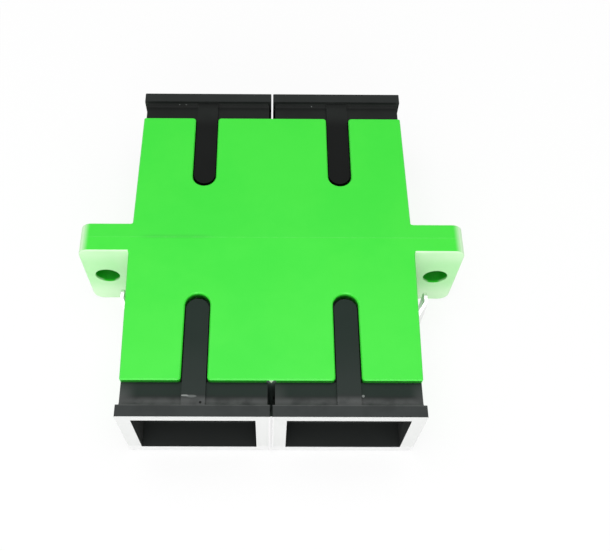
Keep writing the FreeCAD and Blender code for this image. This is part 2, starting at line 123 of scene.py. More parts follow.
# Dust caps.
CAP_DRIFT = 4 * MM
CAP_GRAIN = 0.8
CAP_GRAIN_DEPTH = 1.2
CAP_SWING = 0.16
CAP_SCRATCH_ROUGHNESS = 0.2
CAP_WEAR_ROUGHNESS = -0.06
CAP_CREASE_ROUGHNESS = 0.12
CAP_HIDDEN_ROUGHNESS = 0.4
CAP_SCRATCHES = 0.8
# Painted light: the caps grey towards the front.
FRONT_LIGHT_ALONG = (32 * MM, -15 * MM)
FRONT_LIGHT_GREY = 0.55
DRIFT_GREY = 0.35
FRONT_HALF = (1 * MM, -1 * MM)
# Painted shade on the ribs inside the key slots and on the walls between the caps.
IN_SLOT = (HOUSING_END + 1.0 * MM, HOUSING_END - 1.0 * MM)
IN_SLOT_DARKNESS = 0.8
BETWEEN_DARKNESS = 0.1
# Painted highlight along the crease behind the front rims; painted shade in the rear crease.
CREASE_START = (RIM_BACK - 0.95 * MM, RIM_BACK - 0.40 * MM)
CREASE_END = (RIM_BACK + 0.12 * MM, RIM_BACK)
CREASE_LEAST = 4.0 * MM
CREASE_HIGHLIGHT = 0.9
CREASE_HIGHLIGHT_REAR = 0.02
CREASE_DARKNESS_REAR = 0.5
PATCHES = 1.3 * MM
PATCHES_RANGE = (0.30, 0.62)
PATCHES_LEAST = 0.45
# Rims are greyer, and greyer still at the front as painted light.
RIM_START = (RIM_BACK - 0.05 * MM, RIM_BACK + 0.05 * MM)
RIM_GREY_REAR = 0.33
RIM_GREY_FRONT_LIGHT = 0.17
# Painted reflection of the green housing on the front necks.
GREEN_REFLECTION_ALONG = (-15.1 * MM, -14.5 * MM)
GREEN_REFLECTION_STRENGTH = 0.9
# Painted light on the front necks' ends and ribs.
LEFT_LIGHT = (-10.8 * MM, -12.3 * MM)
RIGHT_LIGHT = (11.2 * MM, 12.3 * MM)
RIGHT_LIGHT_STRENGTH = 0.6
MIDDLE_LIGHT = (1.6 * MM, 0.5 * MM)
MIDDLE_LIGHT_STRENGTH = 0.4
NECK_LIGHT_ALONG = (-13.4 * MM, -15.1 * MM)
NECK_LIGHT_STRENGTH = (0.2, 0.75)
RIB_LIGHT = (-9 * MM, -14.5 * MM)
RIB_LIGHT_STRENGTH = 0.30
RIB_EDGE = (1.05 * MM, 0.9 * MM)
# Painted light on the front necks' tops towards the rims.
RIM_LIGHT_ALONG = (-14.8 * MM, -15.3 * MM)
RIM_LIGHT_STRENGTH = 0.8
# Small marks on the caps' tops: middle x, middle y, half length along x and along y, all in mm.
NICKS = (
    (-7.05, -14.84, 0.34, 0.08),
    (7.52, -14.75, 0.12, 0.12),
    (-9.2, 15.62, 0.07, 0.06),
    (-8.55, 15.62, 0.07, 0.06),
    (3.9, 15.5, 0.045, 0.04),
)
NICK_STRENGTH = 0.8
SMEARS = ((-6.5, -14.90, 0.45, 0.12),)
SMEAR_STRENGTH = 0.35
PITS = ((-5.75, -15.42, 0.12, 0.12),)
FACE_CLOUD = 1.8 * MM
FACE_CLOUD_RANGE = (0.55, 0.8)
FACE_CLOUD_STRENGTH = 0.05
# Painted reflection of the floor on the lower bars and middle edges of the caps' end faces.
LOW_BAR = (-3.0 * MM, -3.7 * MM)
LOW_BAR_LIGHT = 0.85
MIDDLE_EDGE = (0.26 * MM, 0.14 * MM)
CAP_WEAR = 0.25
CAP_SCUFFS = 0.5
CAP_SPECULAR = 0.13
SCRATCH_DEPTH = 0.003 * MM

# Relief and effects that several finishes share.
SPOT_EDGE = (1.2, 0.5)
GRAIN_SHARE = 0.5
SINK_SIZE = 3.2 * MM
SINK_DEPTH = 0.05 * MM
CLOUD_SIZE = 0.9 * MM
DRIFT_RANGE = (0.36, 0.64)
DRIFT_SHARE = 0.8
SCRATCH_SIZE = 1.6 * MM
SCRATCH_RANGE = (0.66, 0.74)
SCRATCH_PATCH = 3.5 * MM
SCRATCH_PATCH_RANGE = (0.45, 0.62)
SCRATCH_TURNS = ((0.35, 14.0), (-1.05, 11.0))
WEAR_BREAK = 0.5 * MM
WEAR_BREAK_RANGE = (0.35, 0.6)
WEAR_LEAST = 0.4
ROLLING_SIZE = 0.05 * MM
ROLLING_STRETCH = (0.04, 1.0, 0.25)
ROLLING_DEPTH = 0.002 * MM
ROLLING_RANGE = (0.35, 0.65)
OIL_SIZE = 1.4 * MM
OIL_RANGE = (0.5, 0.7)

# Holders, sleeves and clip.
HOLDER_DRIFT = 3 * MM
HOLDER_WEAR = 0.5
HOLDER_ROUGHNESS = 0.455
HOLDER_SWING = 0.15
SLEEVE_CLOUD = 2 * MM
SLEEVE_RINGS = 2600.0
SLEEVE_RING_DISTORTION = 1.5
SLEEVE_RING_DEPTH = 0.0006 * MM
SLEEVE_RING_ROUGHNESS = 0.05
SLEEVE_IOR = 2.1
CLIP_EDGE = 0.05 * MM
CLIP_WEAR = 0.8
CLIP_LINES = 0.35
CLIP_LINES_ROUGHNESS = 0.12
CLIP_OIL = 0.4
CLIP_OIL_ROUGHNESS = -0.08

# Stage, in metres apart from the camera's sensor.
KEY_PLACE = (-0.02, -0.01, 0.30)
KEY_TARGET = (-0.02, -0.01, 0)
KEY_WIDTH = 0.30
FILL_PLACE = (-0.01, -0.16, 0.055)
FILL_TARGET = (0, 0, 0)
FILL_WIDTH = 0.12
SENSOR_WIDTH_MM = 36
NEAREST_SEEN = 1 * MM
FARTHEST_SEEN = 10

# How far a face's normal has turned, as the pair of cosines between which a mask changes.
UPRIGHT = (0.7, 0.3)
LEVEL = (0.5, 0.8)
SQUARE_ON = (0.75, 0.95)
SIDEWAYS = (0.5, 0.9)
EAR_TURN = (0.96, 0.78)
END_TURN = (0.60, 0.95)
WEAR_TURN = (0.995, 0.90)


# Properties.

def colour(name, description, default):
    return FloatVectorProperty(name=name, description=description, default=default,
                               size=3, min=0, max=1, subtype="COLOR")


def share(name, description, default):
    return FloatProperty(name=name, description=description, default=default,
                         min=0, max=1, subtype="FACTOR")


def length(name, description, default):
    return FloatProperty(name=name, description=description, default=default,
                         min=0, precision=5, unit="LENGTH")


class AdapterMouldings(bpy.types.PropertyGroup):
    """Colours and surface of the plastic pieces."""
    green: colour("Green", "Body of the housing halves", (0.024, 0.76, 0.022))
    green_warm: colour("Warm green", "The drift towards yellow in the green", (0.034, 0.78, 0.026))
    # Pale green: painted sheen on the flange's ears; also worn edges and the flash between the caps.
    green_sheen_and_marks: colour("Pale green", "Flange faces square to the fibres", (0.72, 1.0, 0.66))
    green_seam: colour("Seam green", "Weld seam between the halves", (0.018, 0.55, 0.020))
    # Bore green: painted shade on the walls of the mounting holes.
    green_bore_shade: colour("Bore green", "Duller walls of the mounting holes", (0.010, 0.36, 0.012))
    # Deep green: painted shade on the key slots' walls and the tops of the housing's ends.
    green_painted_shade: colour("Deep green", "Walls of the key slots and tops of the ends", (0.006, 0.10, 0.008))
    # Dull green: painted shade on the housing's end between the caps.
    green_gap_shade: colour("Dull green", "End of the housing between the caps", (0.065, 0.095, 0.080))
    green_roughness: share("Green roughness", "Satin of the housing", 0.42)
    black: colour("Black", "Body of the dust caps", (0.0036, 0.0050, 0.0040))
    # Grey black: random tone, and painted light that greys the caps towards the front.
    black_grey_tone_and_light: colour("Grey black", "Handled patches on the dust caps", (0.013, 0.016, 0.0145))
    # Deep black: painted shade in the slots, between the caps and in the rear creases; also the pits.
    black_shade_and_pits: colour("Deep black", "Ribs in the rear slots, rear creases, pits", (0.0012, 0.0014, 0.0013))
    # Greenish black: painted reflection of the green housing on the front necks.
    black_green_reflection: colour("Greenish black", "Front necks beside the housing", (0.008, 0.019, 0.0135))
    # Well grey and side grey: painted light inside the dust caps, palest on the side walls.
    black_well_light: colour("Well grey", "Greyer inside of the dust caps", (0.028, 0.031, 0.030))
    black_side_light: colour("Side grey", "Side walls inside the dust caps", (0.052, 0.055, 0.053))
    # Dust grey: grey on the rims, and painted light on the front necks and ribs.
    black_rim_grey_and_sheen: colour("Dust", "Rims and the crease behind them", (0.036, 0.041, 0.040))
    # Dust streak: painted highlight along the crease and on the front necks' ends.
    black_painted_highlight: colour("Dust streak", "Streaks along the crease and rubbed ends", (0.085, 0.090, 0.088))
    black_scuff: colour("Scuff grey", "Fine scratches on the dust caps", (0.06, 0.062, 0.06))
    black_nick: colour("Nick grey", "Nicks and a smear on the dust caps", (0.30, 0.32, 0.31))
    cap_face: colour("Cap face", "Outer end faces of the dust caps", (0.755, 0.765, 0.755))
    # Cap edge: painted reflection of the floor on the lower bars and inner edges of the end faces.
    cap_edge_reflection: colour("Cap edge", "Lower bars and inner edges of those faces", (0.84, 0.84, 0.84))
    black_roughness: share("Black roughness", "Satin of the dust caps", 0.38)
    natural: colour("Natural", "Sleeve holders", (0.74, 0.72, 0.64))
    natural_shade: colour("Natural shade", "Thicker walls of the sleeve holders", (0.66, 0.63, 0.53))
    natural_edge: colour("Natural edge", "Worn edges of the sleeve holders", (0.85, 0.84, 0.80))
    grain: length("Grain", "Size of the mould's spark-eroded grain", 0.09 * MM)
    grain_depth: length("Grain depth", "Height of the grain", 0.004 * MM)
    edge_radius: length("Edge radius", "Softening along moulded edges", 0.08 * MM)


class AdapterHardware(bpy.types.PropertyGroup):
    """Colours and surface of the clip and the sleeves."""
    steel: colour("Steel", "Rolled sheet of the spring clip", (0.86, 0.86, 0.85))
    steel_dark: colour("Dark steel", "Rolling lines and oil on the sheet", (0.66, 0.67, 0.66))
    steel_edge: colour("Sheared steel", "Dull edges of the spring clip", (0.16, 0.165, 0.16))
    steel_roughness: share("Steel roughness", "Across the rolling direction", 0.26)
    ceramic: colour("Ceramic", "Split sleeves", (0.84, 0.83, 0.78))
    ceramic_warm: colour("Warm ceramic", "Cloudy tone in the ceramic", (0.80, 0.77, 0.69))
    ceramic_roughness: share("Ceramic roughness", "Polished bore and outside", 0.12)


class AdapterStage(bpy.types.PropertyGroup):
    """Camera, lamps and floor."""
    camera_place: FloatVectorProperty(name="Camera place", description="Where the camera stands",
                                      default=(-0.1182 * MM, -37.998 * MM, 67.840 * MM),
                                      size=3, precision=5, subtype="XYZ", unit="LENGTH")
    camera_turn: FloatVectorProperty(name="Camera turn",
                                     description="Turn from the look at the origin, as axis times angle",
                                     default=(0.00205, 0.00474, -0.00707),
                                     size=3, precision=5, subtype="XYZ")
    camera_lens: FloatProperty(name="Lens", description="Focal length on a 36 mm sensor", default=48.44,
                               min=1, unit="CAMERA")
    camera_shift: FloatVectorProperty(name="Shift", description="Lens shift across and up",
                                      default=(0.0483, -0.0183), size=2, precision=4)
    key_power: FloatProperty(name="Key", description="Power of the overhead soft box", default=0.48,
                             min=0, unit="POWER")
    fill_power: FloatProperty(name="Fill", description="Power of the low front soft box", default=0.127,
                              min=0, unit="POWER")
    surround: share("Surround", "Strength of the pale surround on the adapter", 0.50)
    floor_tone: share("Floor tone", "How much light the floor returns", 0.80)
    floor_shadow: share("Floor shadow", "How strongly the floor shows the shadow", 0.16)
    floor_width: length("Floor width", "Side of the floor", 1.6)


PROPERTIES = {
    "adapter_mouldings": AdapterMouldings,
    "adapter_hardware": AdapterHardware,
    "adapter_stage": AdapterStage,
}


# Node helpers.

def add_node(tree, kind, inputs=None, **settings):
    """Add a node. Each input takes a value or another node's output."""
    made = tree.nodes.new(kind)
    for name, value in settings.items():
        setattr(made, name, value)
    for name, value in (inputs or {}).items():
        socket = made.inputs[name]
        if isinstance(value, bpy.types.NodeSocket):
            tree.links.new(value, socket)
        else:
            socket.default_value = value
    return made


def maths(tree, operation, first, second=0.0, third=0.0, clamp=False):
    made = add_node(tree, "ShaderNodeMath", {0: first, 1: second, 2: third},
                    operation=operation, use_clamp=clamp)
    return made.outputs[0]


def ramp(tree, value, low, high, to_low=0.0, to_high=1.0):
    """A smooth step from to_low at low to to_high at high."""
    made = add_node(tree, "ShaderNodeMapRange",
                    {"Value": value, "From Min": low, "From Max": high,
                     "To Min": to_low, "To Max": to_high},
                    interpolation_type="SMOOTHSTEP")
    return made.outputs["Result"]


def band(tree, value, low, high, soft):
    """1 where value lies between low and high, fading over soft on each side."""
    return maths(tree, "MULTIPLY", ramp(tree, value, low - soft, low), ramp(tree, value, high + soft, high))


def product(tree, *values):
    """All the values multiplied together."""
    result = values[0]
    for value in values[1:]:
        result = maths(tree, "MULTIPLY", result, value)
    return result


def opposite(tree, mask):
    """0 where mask is 1 and 1 where it is 0."""
    return maths(tree, "SUBTRACT", 1.0, mask)


def spots(tree, x, y, places):
    """1 inside small marks, each given as its middle x and y and its half lengths, all in mm."""
    total = 0.0
    for place_x, place_y, reach_x, reach_y in places:
        off_x = maths(tree, "DIVIDE", maths(tree, "SUBTRACT", x, place_x * MM), reach_x * MM)
        off_y = maths(tree, "DIVIDE", maths(tree, "SUBTRACT", y, place_y * MM), reach_y * MM)
        away = maths(tree, "ADD", product(tree, off_x, off_x), product(tree, off_y, off_y))
        total = maths(tree, "ADD", total, ramp(tree, away, *SPOT_EDGE))
    return maths(tree, "MINIMUM", total, 1.0)


def mix_colour(tree, factor, first, second):
    """first where factor is 0 and second where it is 1."""
    made = add_node(tree, "ShaderNodeMix", data_type="RGBA")
    for index, value in ((0, factor), (6, first), (7, second)):
        if isinstance(value, bpy.types.NodeSocket):
            tree.links.new(value, made.inputs[index])
        elif index == 0:
            made.inputs[0].default_value = value
        else:
            made.inputs[index].default_value = (*value, 1.0)
    return made.outputs[2]


def noise(tree, vector, size, detail=2.0, roughness=0.5):
    """Noise whose lumps are about size metres across."""
    made = add_node(tree, "ShaderNodeTexNoise",
                    {"Vector": vector, "Detail": detail, "Roughness": roughness})
    if isinstance(size, bpy.types.NodeSocket):
        tree.links.new(maths(tree, "DIVIDE", 1.0, size), made.inputs["Scale"])
    else:
        made.inputs["Scale"].default_value = 1 / size
    return made.outputs[0]


def split(tree, vector):
    made = add_node(tree, "ShaderNodeSeparateXYZ", {0: vector})
    return made.outputs[0], made.outputs[1], made.outputs[2]


def new_group(name, inputs, outputs):
    """A shader node group. Returns its tree, its input sockets by name and its output node."""
    tree = bpy.data.node_groups.new(name, "ShaderNodeTree")
    for socket, kind, default in inputs:
        made = tree.interface.new_socket(socket, in_out="INPUT", socket_type=kind)
        if default is not None:
            made.default_value = default
    for socket, kind in outputs:
        tree.interface.new_socket(socket, in_out="OUTPUT", socket_type=kind)
    start = tree.nodes.new("NodeGroupInput")
    finish = tree.nodes.new("NodeGroupOutput")
    return tree, {socket[0]: start.outputs[socket[0]] for socket in inputs}, finish


def use_group(tree, name, inputs):
    """Place the node group in a material and return its outputs."""
    return add_node(tree, "ShaderNodeGroup", inputs, node_tree=bpy.data.node_groups[name]).outputs


VECTOR = "NodeSocketVector"
NUMBER = "NodeSocketFloat"


def moulded_grain():
    """Fine grain that a spark-eroded mould leaves, over the slow sink of thick walls."""
    tree, given, finish = new_group("Moulded grain", [
        ("Vector", VECTOR, None), ("Grain", NUMBER, 0.09 * MM), ("Depth", NUMBER, 0.004 * MM),
    ], [("Height", NUMBER), ("Tone", NUMBER)])
    fine = noise(tree, given["Vector"], given["Grain"], detail=3, roughness=0.6)
    slow = noise(tree, given["Vector"], SINK_SIZE, detail=1)
    height = maths(tree, "MULTIPLY", fine, given["Depth"])
    sink = maths(tree, "MULTIPLY", slow, SINK_DEPTH)
    tree.links.new(maths(tree, "ADD", height, sink), finish.inputs["Height"])
    tone = maths(tree, "MULTIPLY_ADD", fine, GRAIN_SHARE, maths(tree, "MULTIPLY", slow, 1.0 - GRAIN_SHARE))
    tree.links.new(tone, finish.inputs["Tone"])


def tone_drift():
    """Slow change of tone across a moulding, with a finer cloudiness on it."""
    tree, given, finish = new_group("Tone drift", [
        ("Vector", VECTOR, None), ("Size", NUMBER, 6 * MM),
    ], [("Mask", NUMBER)])
    wide = noise(tree, given["Vector"], given["Size"], detail=1.5)
    cloud = noise(tree, given["Vector"], CLOUD_SIZE, detail=2)
    both = maths(tree, "MULTIPLY_ADD", wide, DRIFT_SHARE,
                 maths(tree, "MULTIPLY", cloud, 1.0 - DRIFT_SHARE))
    tree.links.new(ramp(tree, both, *DRIFT_RANGE), finish.inputs["Mask"])


def fine_scratches():
    """Sparse hairline scratches in two directions, from handling."""
    tree, given, finish = new_group("Fine scratches", [
        ("Vector", VECTOR, None), ("Amount", NUMBER, 0.5),
    ], [("Mask", NUMBER)])
    masks = []
    for turn, thinness in SCRATCH_TURNS:
        turned = add_node(tree, "ShaderNodeMapping", {"Vector": given["Vector"]})
        turned.inputs["Rotation"].default_value = (0.0, 0.0, turn)
        turned.inputs["Scale"].default_value = (1.0, thinness, 1.0)
        lines = noise(tree, turned.outputs[0], SCRATCH_SIZE, detail=4, roughness=0.7)
        masks.append(ramp(tree, lines, *SCRATCH_RANGE))
    patches = ramp(tree, noise(tree, given["Vector"], SCRATCH_PATCH), *SCRATCH_PATCH_RANGE)
    lines = maths(tree, "MAXIMUM", masks[0], masks[1])
    marked = maths(tree, "MULTIPLY", lines, patches)
    tree.links.new(maths(tree, "MULTIPLY", marked, given["Amount"], clamp=True), finish.inputs["Mask"])


def edge_wear():
    """Where an edge is rounded over, broken up so that it isn't an even line."""
    tree, given, finish = new_group("Edge wear", [
        ("Vector", VECTOR, None), ("Radius", NUMBER, 0.08 * MM),
    ], [("Mask", NUMBER)])
    rounded = add_node(tree, "ShaderNodeBevel", {"Radius": given["Radius"]}, samples=4)
    flat = add_node(tree, "ShaderNodeNewGeometry")
    turn = add_node(tree, "ShaderNodeVectorMath", {0: rounded.outputs[0], 1: flat.outputs["Normal"]},
                    operation="DOT_PRODUCT")
    edge = ramp(tree, turn.outputs["Value"], *WEAR_TURN)
    broken = ramp(tree, noise(tree, given["Vector"], WEAR_BREAK, detail=3), *WEAR_BREAK_RANGE)
    strength = maths(tree, "MULTIPLY_ADD", broken, 1.0 - WEAR_LEAST, WEAR_LEAST)
    tree.links.new(maths(tree, "MULTIPLY", edge, strength), finish.inputs["Mask"])


def end_faces():
    """Faces square to the fibres, at least Reach from the weld plane."""
    tree, given, finish = new_group("End faces", [
        ("Vector", VECTOR, None), ("Normal", VECTOR, None), ("Reach", NUMBER, 0.0),
    ], [("Mask", NUMBER)])
    _, y, _ = split(tree, given["Vector"])
    _, facing_along, _ = split(tree, given["Normal"])
    square = ramp(tree, maths(tree, "ABSOLUTE", facing_along), *END_TURN)
    reach = maths(tree, "GREATER_THAN", maths(tree, "ABSOLUTE", y), given["Reach"])
    tree.links.new(maths(tree, "MULTIPLY", square, reach), finish.inputs["Mask"])


def rolled_sheet():
    """Rolling lines of sheet steel along X, with faint oil patches."""
    tree, given, finish = new_group("Rolled sheet", [
        ("Vector", VECTOR, None),
    ], [("Height", NUMBER), ("Lines", NUMBER), ("Oil", NUMBER)])
    drawn = add_node(tree, "ShaderNodeMapping", {"Vector": given["Vector"]})
    drawn.inputs["Scale"].default_value = ROLLING_STRETCH
    lines = noise(tree, drawn.outputs[0], ROLLING_SIZE, detail=3, roughness=0.7)
    oil = ramp(tree, noise(tree, given["Vector"], OIL_SIZE, detail=2), *OIL_RANGE)
    tree.links.new(maths(tree, "MULTIPLY", lines, ROLLING_DEPTH), finish.inputs["Height"])
    tree.links.new(ramp(tree, lines, *ROLLING_RANGE), finish.inputs["Lines"])
    tree.links.new(oil, finish.inputs["Oil"])


def new_material(name):
    """A material with only a Principled shader. Returns material, tree, shader and texture coordinates."""
    material = bpy.data.materials.new(name)
    material.use_nodes = True
    tree = material.node_tree
    tree.nodes.clear()
    shader = tree.nodes.new("ShaderNodeBsdfPrincipled")
    surface = tree.nodes.new("ShaderNodeOutputMaterial")
    tree.links.new(shader.outputs[0], surface.inputs["Surface"])
    place = tree.nodes.new("ShaderNodeTexCoord")
    return material, tree, shader, place.outputs


def bump(tree, shader, height):
    """Relief of height metres."""
    made = add_node(tree, "ShaderNodeBump", {"Height": height, "Strength": 1.0, "Distance": 1.0})
    tree.links.new(made.outputs[0], shader.inputs["Normal"])


def link_roughness(tree, shader, start, *steps):
    """Roughness from start, changed by amount where mask is 1 for each step of mask and amount."""
    rough = start
    for mask, amount in steps:
        rough = maths(tree, "MULTIPLY_ADD", mask, amount, rough)
    tree.links.new(rough, shader.inputs["Roughness"])


def dress(material, names):
    """Give CAD nodes the material in every slot."""
    for name in names:
        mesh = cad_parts[name].data
        mesh.materials.clear()
        mesh.materials.append(material)


class Where:
    """Where a shaded point lies on the part and which way its face points, as node outputs."""

    def __init__(self, tree, place):
        self.here = place["Object"]
        self.x, self.y, self.z = split(tree, self.here)
        self.aside = maths(tree, "ABSOLUTE", self.x)
        self.along = maths(tree, "ABSOLUTE", self.y)
        self.facing_x, self.facing_y, self.facing_z = split(tree, place["Normal"])


# Operators.

class ADAPTER_OT_shared_effects(bpy.types.Operator):
    """Make the node groups that the finishes use"""
    bl_idname = "adapter.shared_effects"
    bl_label = "Shared effects"

    def execute(self, context):
        for build in (moulded_grain, tone_drift, fine_scratches, edge_wear, end_faces, rolled_sheet):
            build()
        return {"FINISHED"}


class ADAPTER_OT_green_housing(bpy.types.Operator):
    """Satin green on both housing halves, with the weld seam, painted sheen on the flange's ears and
    painted shade in the slots, holes and ends
    """
    bl_idname = "adapter.green_housing"
    bl_label = "Green housing"

    def execute(self, context):
        sizes = context.scene.adapter_mouldings
        material, tree, shader, place = new_material("green_moulding")
        at = Where(tree, place)
        drift = use_group(tree, "Tone drift", {"Vector": at.here, "Size": GREEN_DRIFT})["Mask"]
        grain = use_group(tree, "Moulded grain", {"Vector": at.here, "Grain": sizes.grain,
                                                  "Depth": sizes.grain_depth})
        wear = use_group(tree, "Edge wear", {"Vector": at.here, "Radius": sizes.edge_radius})["Mask"]
        scratches = use_group(tree, "Fine scratches", {"Vector": at.here,
                                                       "Amount": GREEN_SCRATCHES})["Mask"]
        body = mix_colour(tree, drift, sizes.green, sizes.green_warm)
        tone = maths(tree, "MULTIPLY", grain["Tone"], GREEN_GRAIN)
        body = mix_colour(tree, tone, body, sizes.green_seam)
        # The rear half is a little darker than the front half.
        rear = ramp(tree, at.y, *REAR_HALF, 0.0, REAR_DARKENING)
        body = mix_colour(tree, rear, body, sizes.green_seam)
        seam = self.seam(tree, at)
        body = mix_colour(tree, seam, body, sizes.green_seam)

        level = maths(tree, "ABSOLUTE", at.facing_z)
        ends = product(tree, ramp(tree, maths(tree, "ABSOLUTE", at.facing_y), *SQUARE_ON),
                       maths(tree, "GREATER_THAN", at.along, HOUSING_END - END_SKIN))
        # Painted shade on the housing's end in the narrow gap between the caps.
        between = product(tree, ramp(tree, at.aside, *BETWEEN_ENDS), ends)
        body = mix_colour(tree, self.shade(tree, at, level, ends), body, sizes.green_painted_shade)
        body = mix_colour(tree, between, body, sizes.green_gap_shade)
        body = mix_colour(tree, self.burr(tree, at, ends), body, sizes.green_sheen_and_marks)
        # Painted sheen on the flange's ears.
        body = mix_colour(tree, self.painted_ear_sheen(tree, at, level), body, sizes.green_sheen_and_marks)
        rubbed = maths(tree, "MULTIPLY", wear, GREEN_WEAR)
        body = mix_colour(tree, rubbed, body, sizes.green_sheen_and_marks)
        body = mix_colour(tree, self.painted_hole_shade(tree, at), body, sizes.green_bore_shade)
        tree.links.new(body, shader.inputs["Base Color"])

        link_roughness(tree, shader, sizes.green_roughness - GREEN_SWING / 2,
                       (grain["Tone"], GREEN_SWING), (scratches, GREEN_SCRATCH_ROUGHNESS),
                       (wear, GREEN_WEAR_ROUGHNESS), (between, GREEN_BETWEEN_ROUGHNESS))
        bump(tree, shader, maths(tree, "MULTIPLY_ADD", seam, -SEAM_DEPTH, grain["Height"]))
        dress(material, ("housing_front", "housing_rear"))
        return {"FINISHED"}

    def seam(self, tree, at):
        """The weld's flash was trimmed on the left of the top, which leaves a fine line."""
        trimmed = band(tree, at.x, TRIMMED_START, TRIMMED_END, TRIMMED_FADE)
        off_weld = maths(tree, "ABSOLUTE", maths(tree, "SUBTRACT", at.y, SEAM_Y))
        line = ramp(tree, off_weld, *SEAM_FADE, 0.0, SEAM_STRENGTH)
        strength = maths(tree, "MULTIPLY_ADD", trimmed, 1.0 - SEAM_ELSEWHERE, SEAM_ELSEWHERE)
        return product(tree, line, strength, maths(tree, "LESS_THAN", at.aside, EAR_START))

    def shade(self, tree, at, level, ends):
        """Painted shade: the key slots' walls darken downwards, and the housing's ends darken above the
        caps.
        """
        slots = product(tree, ramp(tree, level, *UPRIGHT),
                        band(tree, at.aside, PORT_X - SLOT_REACH, PORT_X + SLOT_REACH, SLOT_EDGE),
                        ramp(tree, at.along, *SLOT_START),
                        ramp(tree, at.z, *SLOT_SHADE, 0.0, SLOT_DARKNESS),
                        maths(tree, "GREATER_THAN", at.z, 0.0))
        upper_ends = product(tree, ends, ramp(tree, at.z, *UPPER_END), UPPER_END_DARKNESS)
        return maths(tree, "MAXIMUM", slots, upper_ends)

    def burr(self, tree, at, ends):
        """A pale wedge of flash at the top of the front end, between the caps."""
        wedge = maths(tree, "MULTIPLY_ADD", at.aside, BURR_SLOPE, BURR_START)
        return product(tree, maths(tree, "LESS_THAN", wedge, at.z), ramp(tree, at.aside, *BURR_HALF), ends,
                       maths(tree, "LESS_THAN", at.y, 0.0))

    def painted_ear_sheen(self, tree, at, level):
        """Painted sheen: the flange's ears are painted pale in place of the bright floor's reflection, all
        but their tops and undersides short of the tips.
        """
        sheen_faces = maths(tree, "MAXIMUM", ramp(tree, level, *EAR_TURN),
                         ramp(tree, at.aside, *EAR_TIP, 0.0, EAR_TIP_PALENESS))
        ears = product(tree, maths(tree, "GREATER_THAN", at.aside, EAR_START), sheen_faces)
        cloud = ramp(tree, noise(tree, at.here, EAR_CLOUD, detail=2), *EAR_CLOUD_RANGE,
                     0.0, EAR_CLOUD_STRENGTH)
        greener = product(tree, ramp(tree, at.z, *EAR_LOW),
                          ramp(tree, at.z, *EAR_HIGH, EAR_HIGH_LEAST, 1.0),
                          ramp(tree, at.aside, *EAR_INNER, *EAR_GREEN))
        return product(tree, ears, opposite(tree, maths(tree, "ADD", cloud, greener)))

    def painted_hole_shade(self, tree, at):
        """Painted shade on the walls of the mounting holes, from just inside the flange's faces inwards."""
        across = maths(tree, "SUBTRACT", at.aside, HOLE_X)
        radius = maths(tree, "SQRT", maths(tree, "ADD", product(tree, across, across),
                                           product(tree, at.z, at.z)))
        return product(tree, ramp(tree, radius, *BORE_EDGE),
                       maths(tree, "GREATER_THAN", at.aside, EAR_START),
                       ramp(tree, at.along, *BORE_DEPTH))


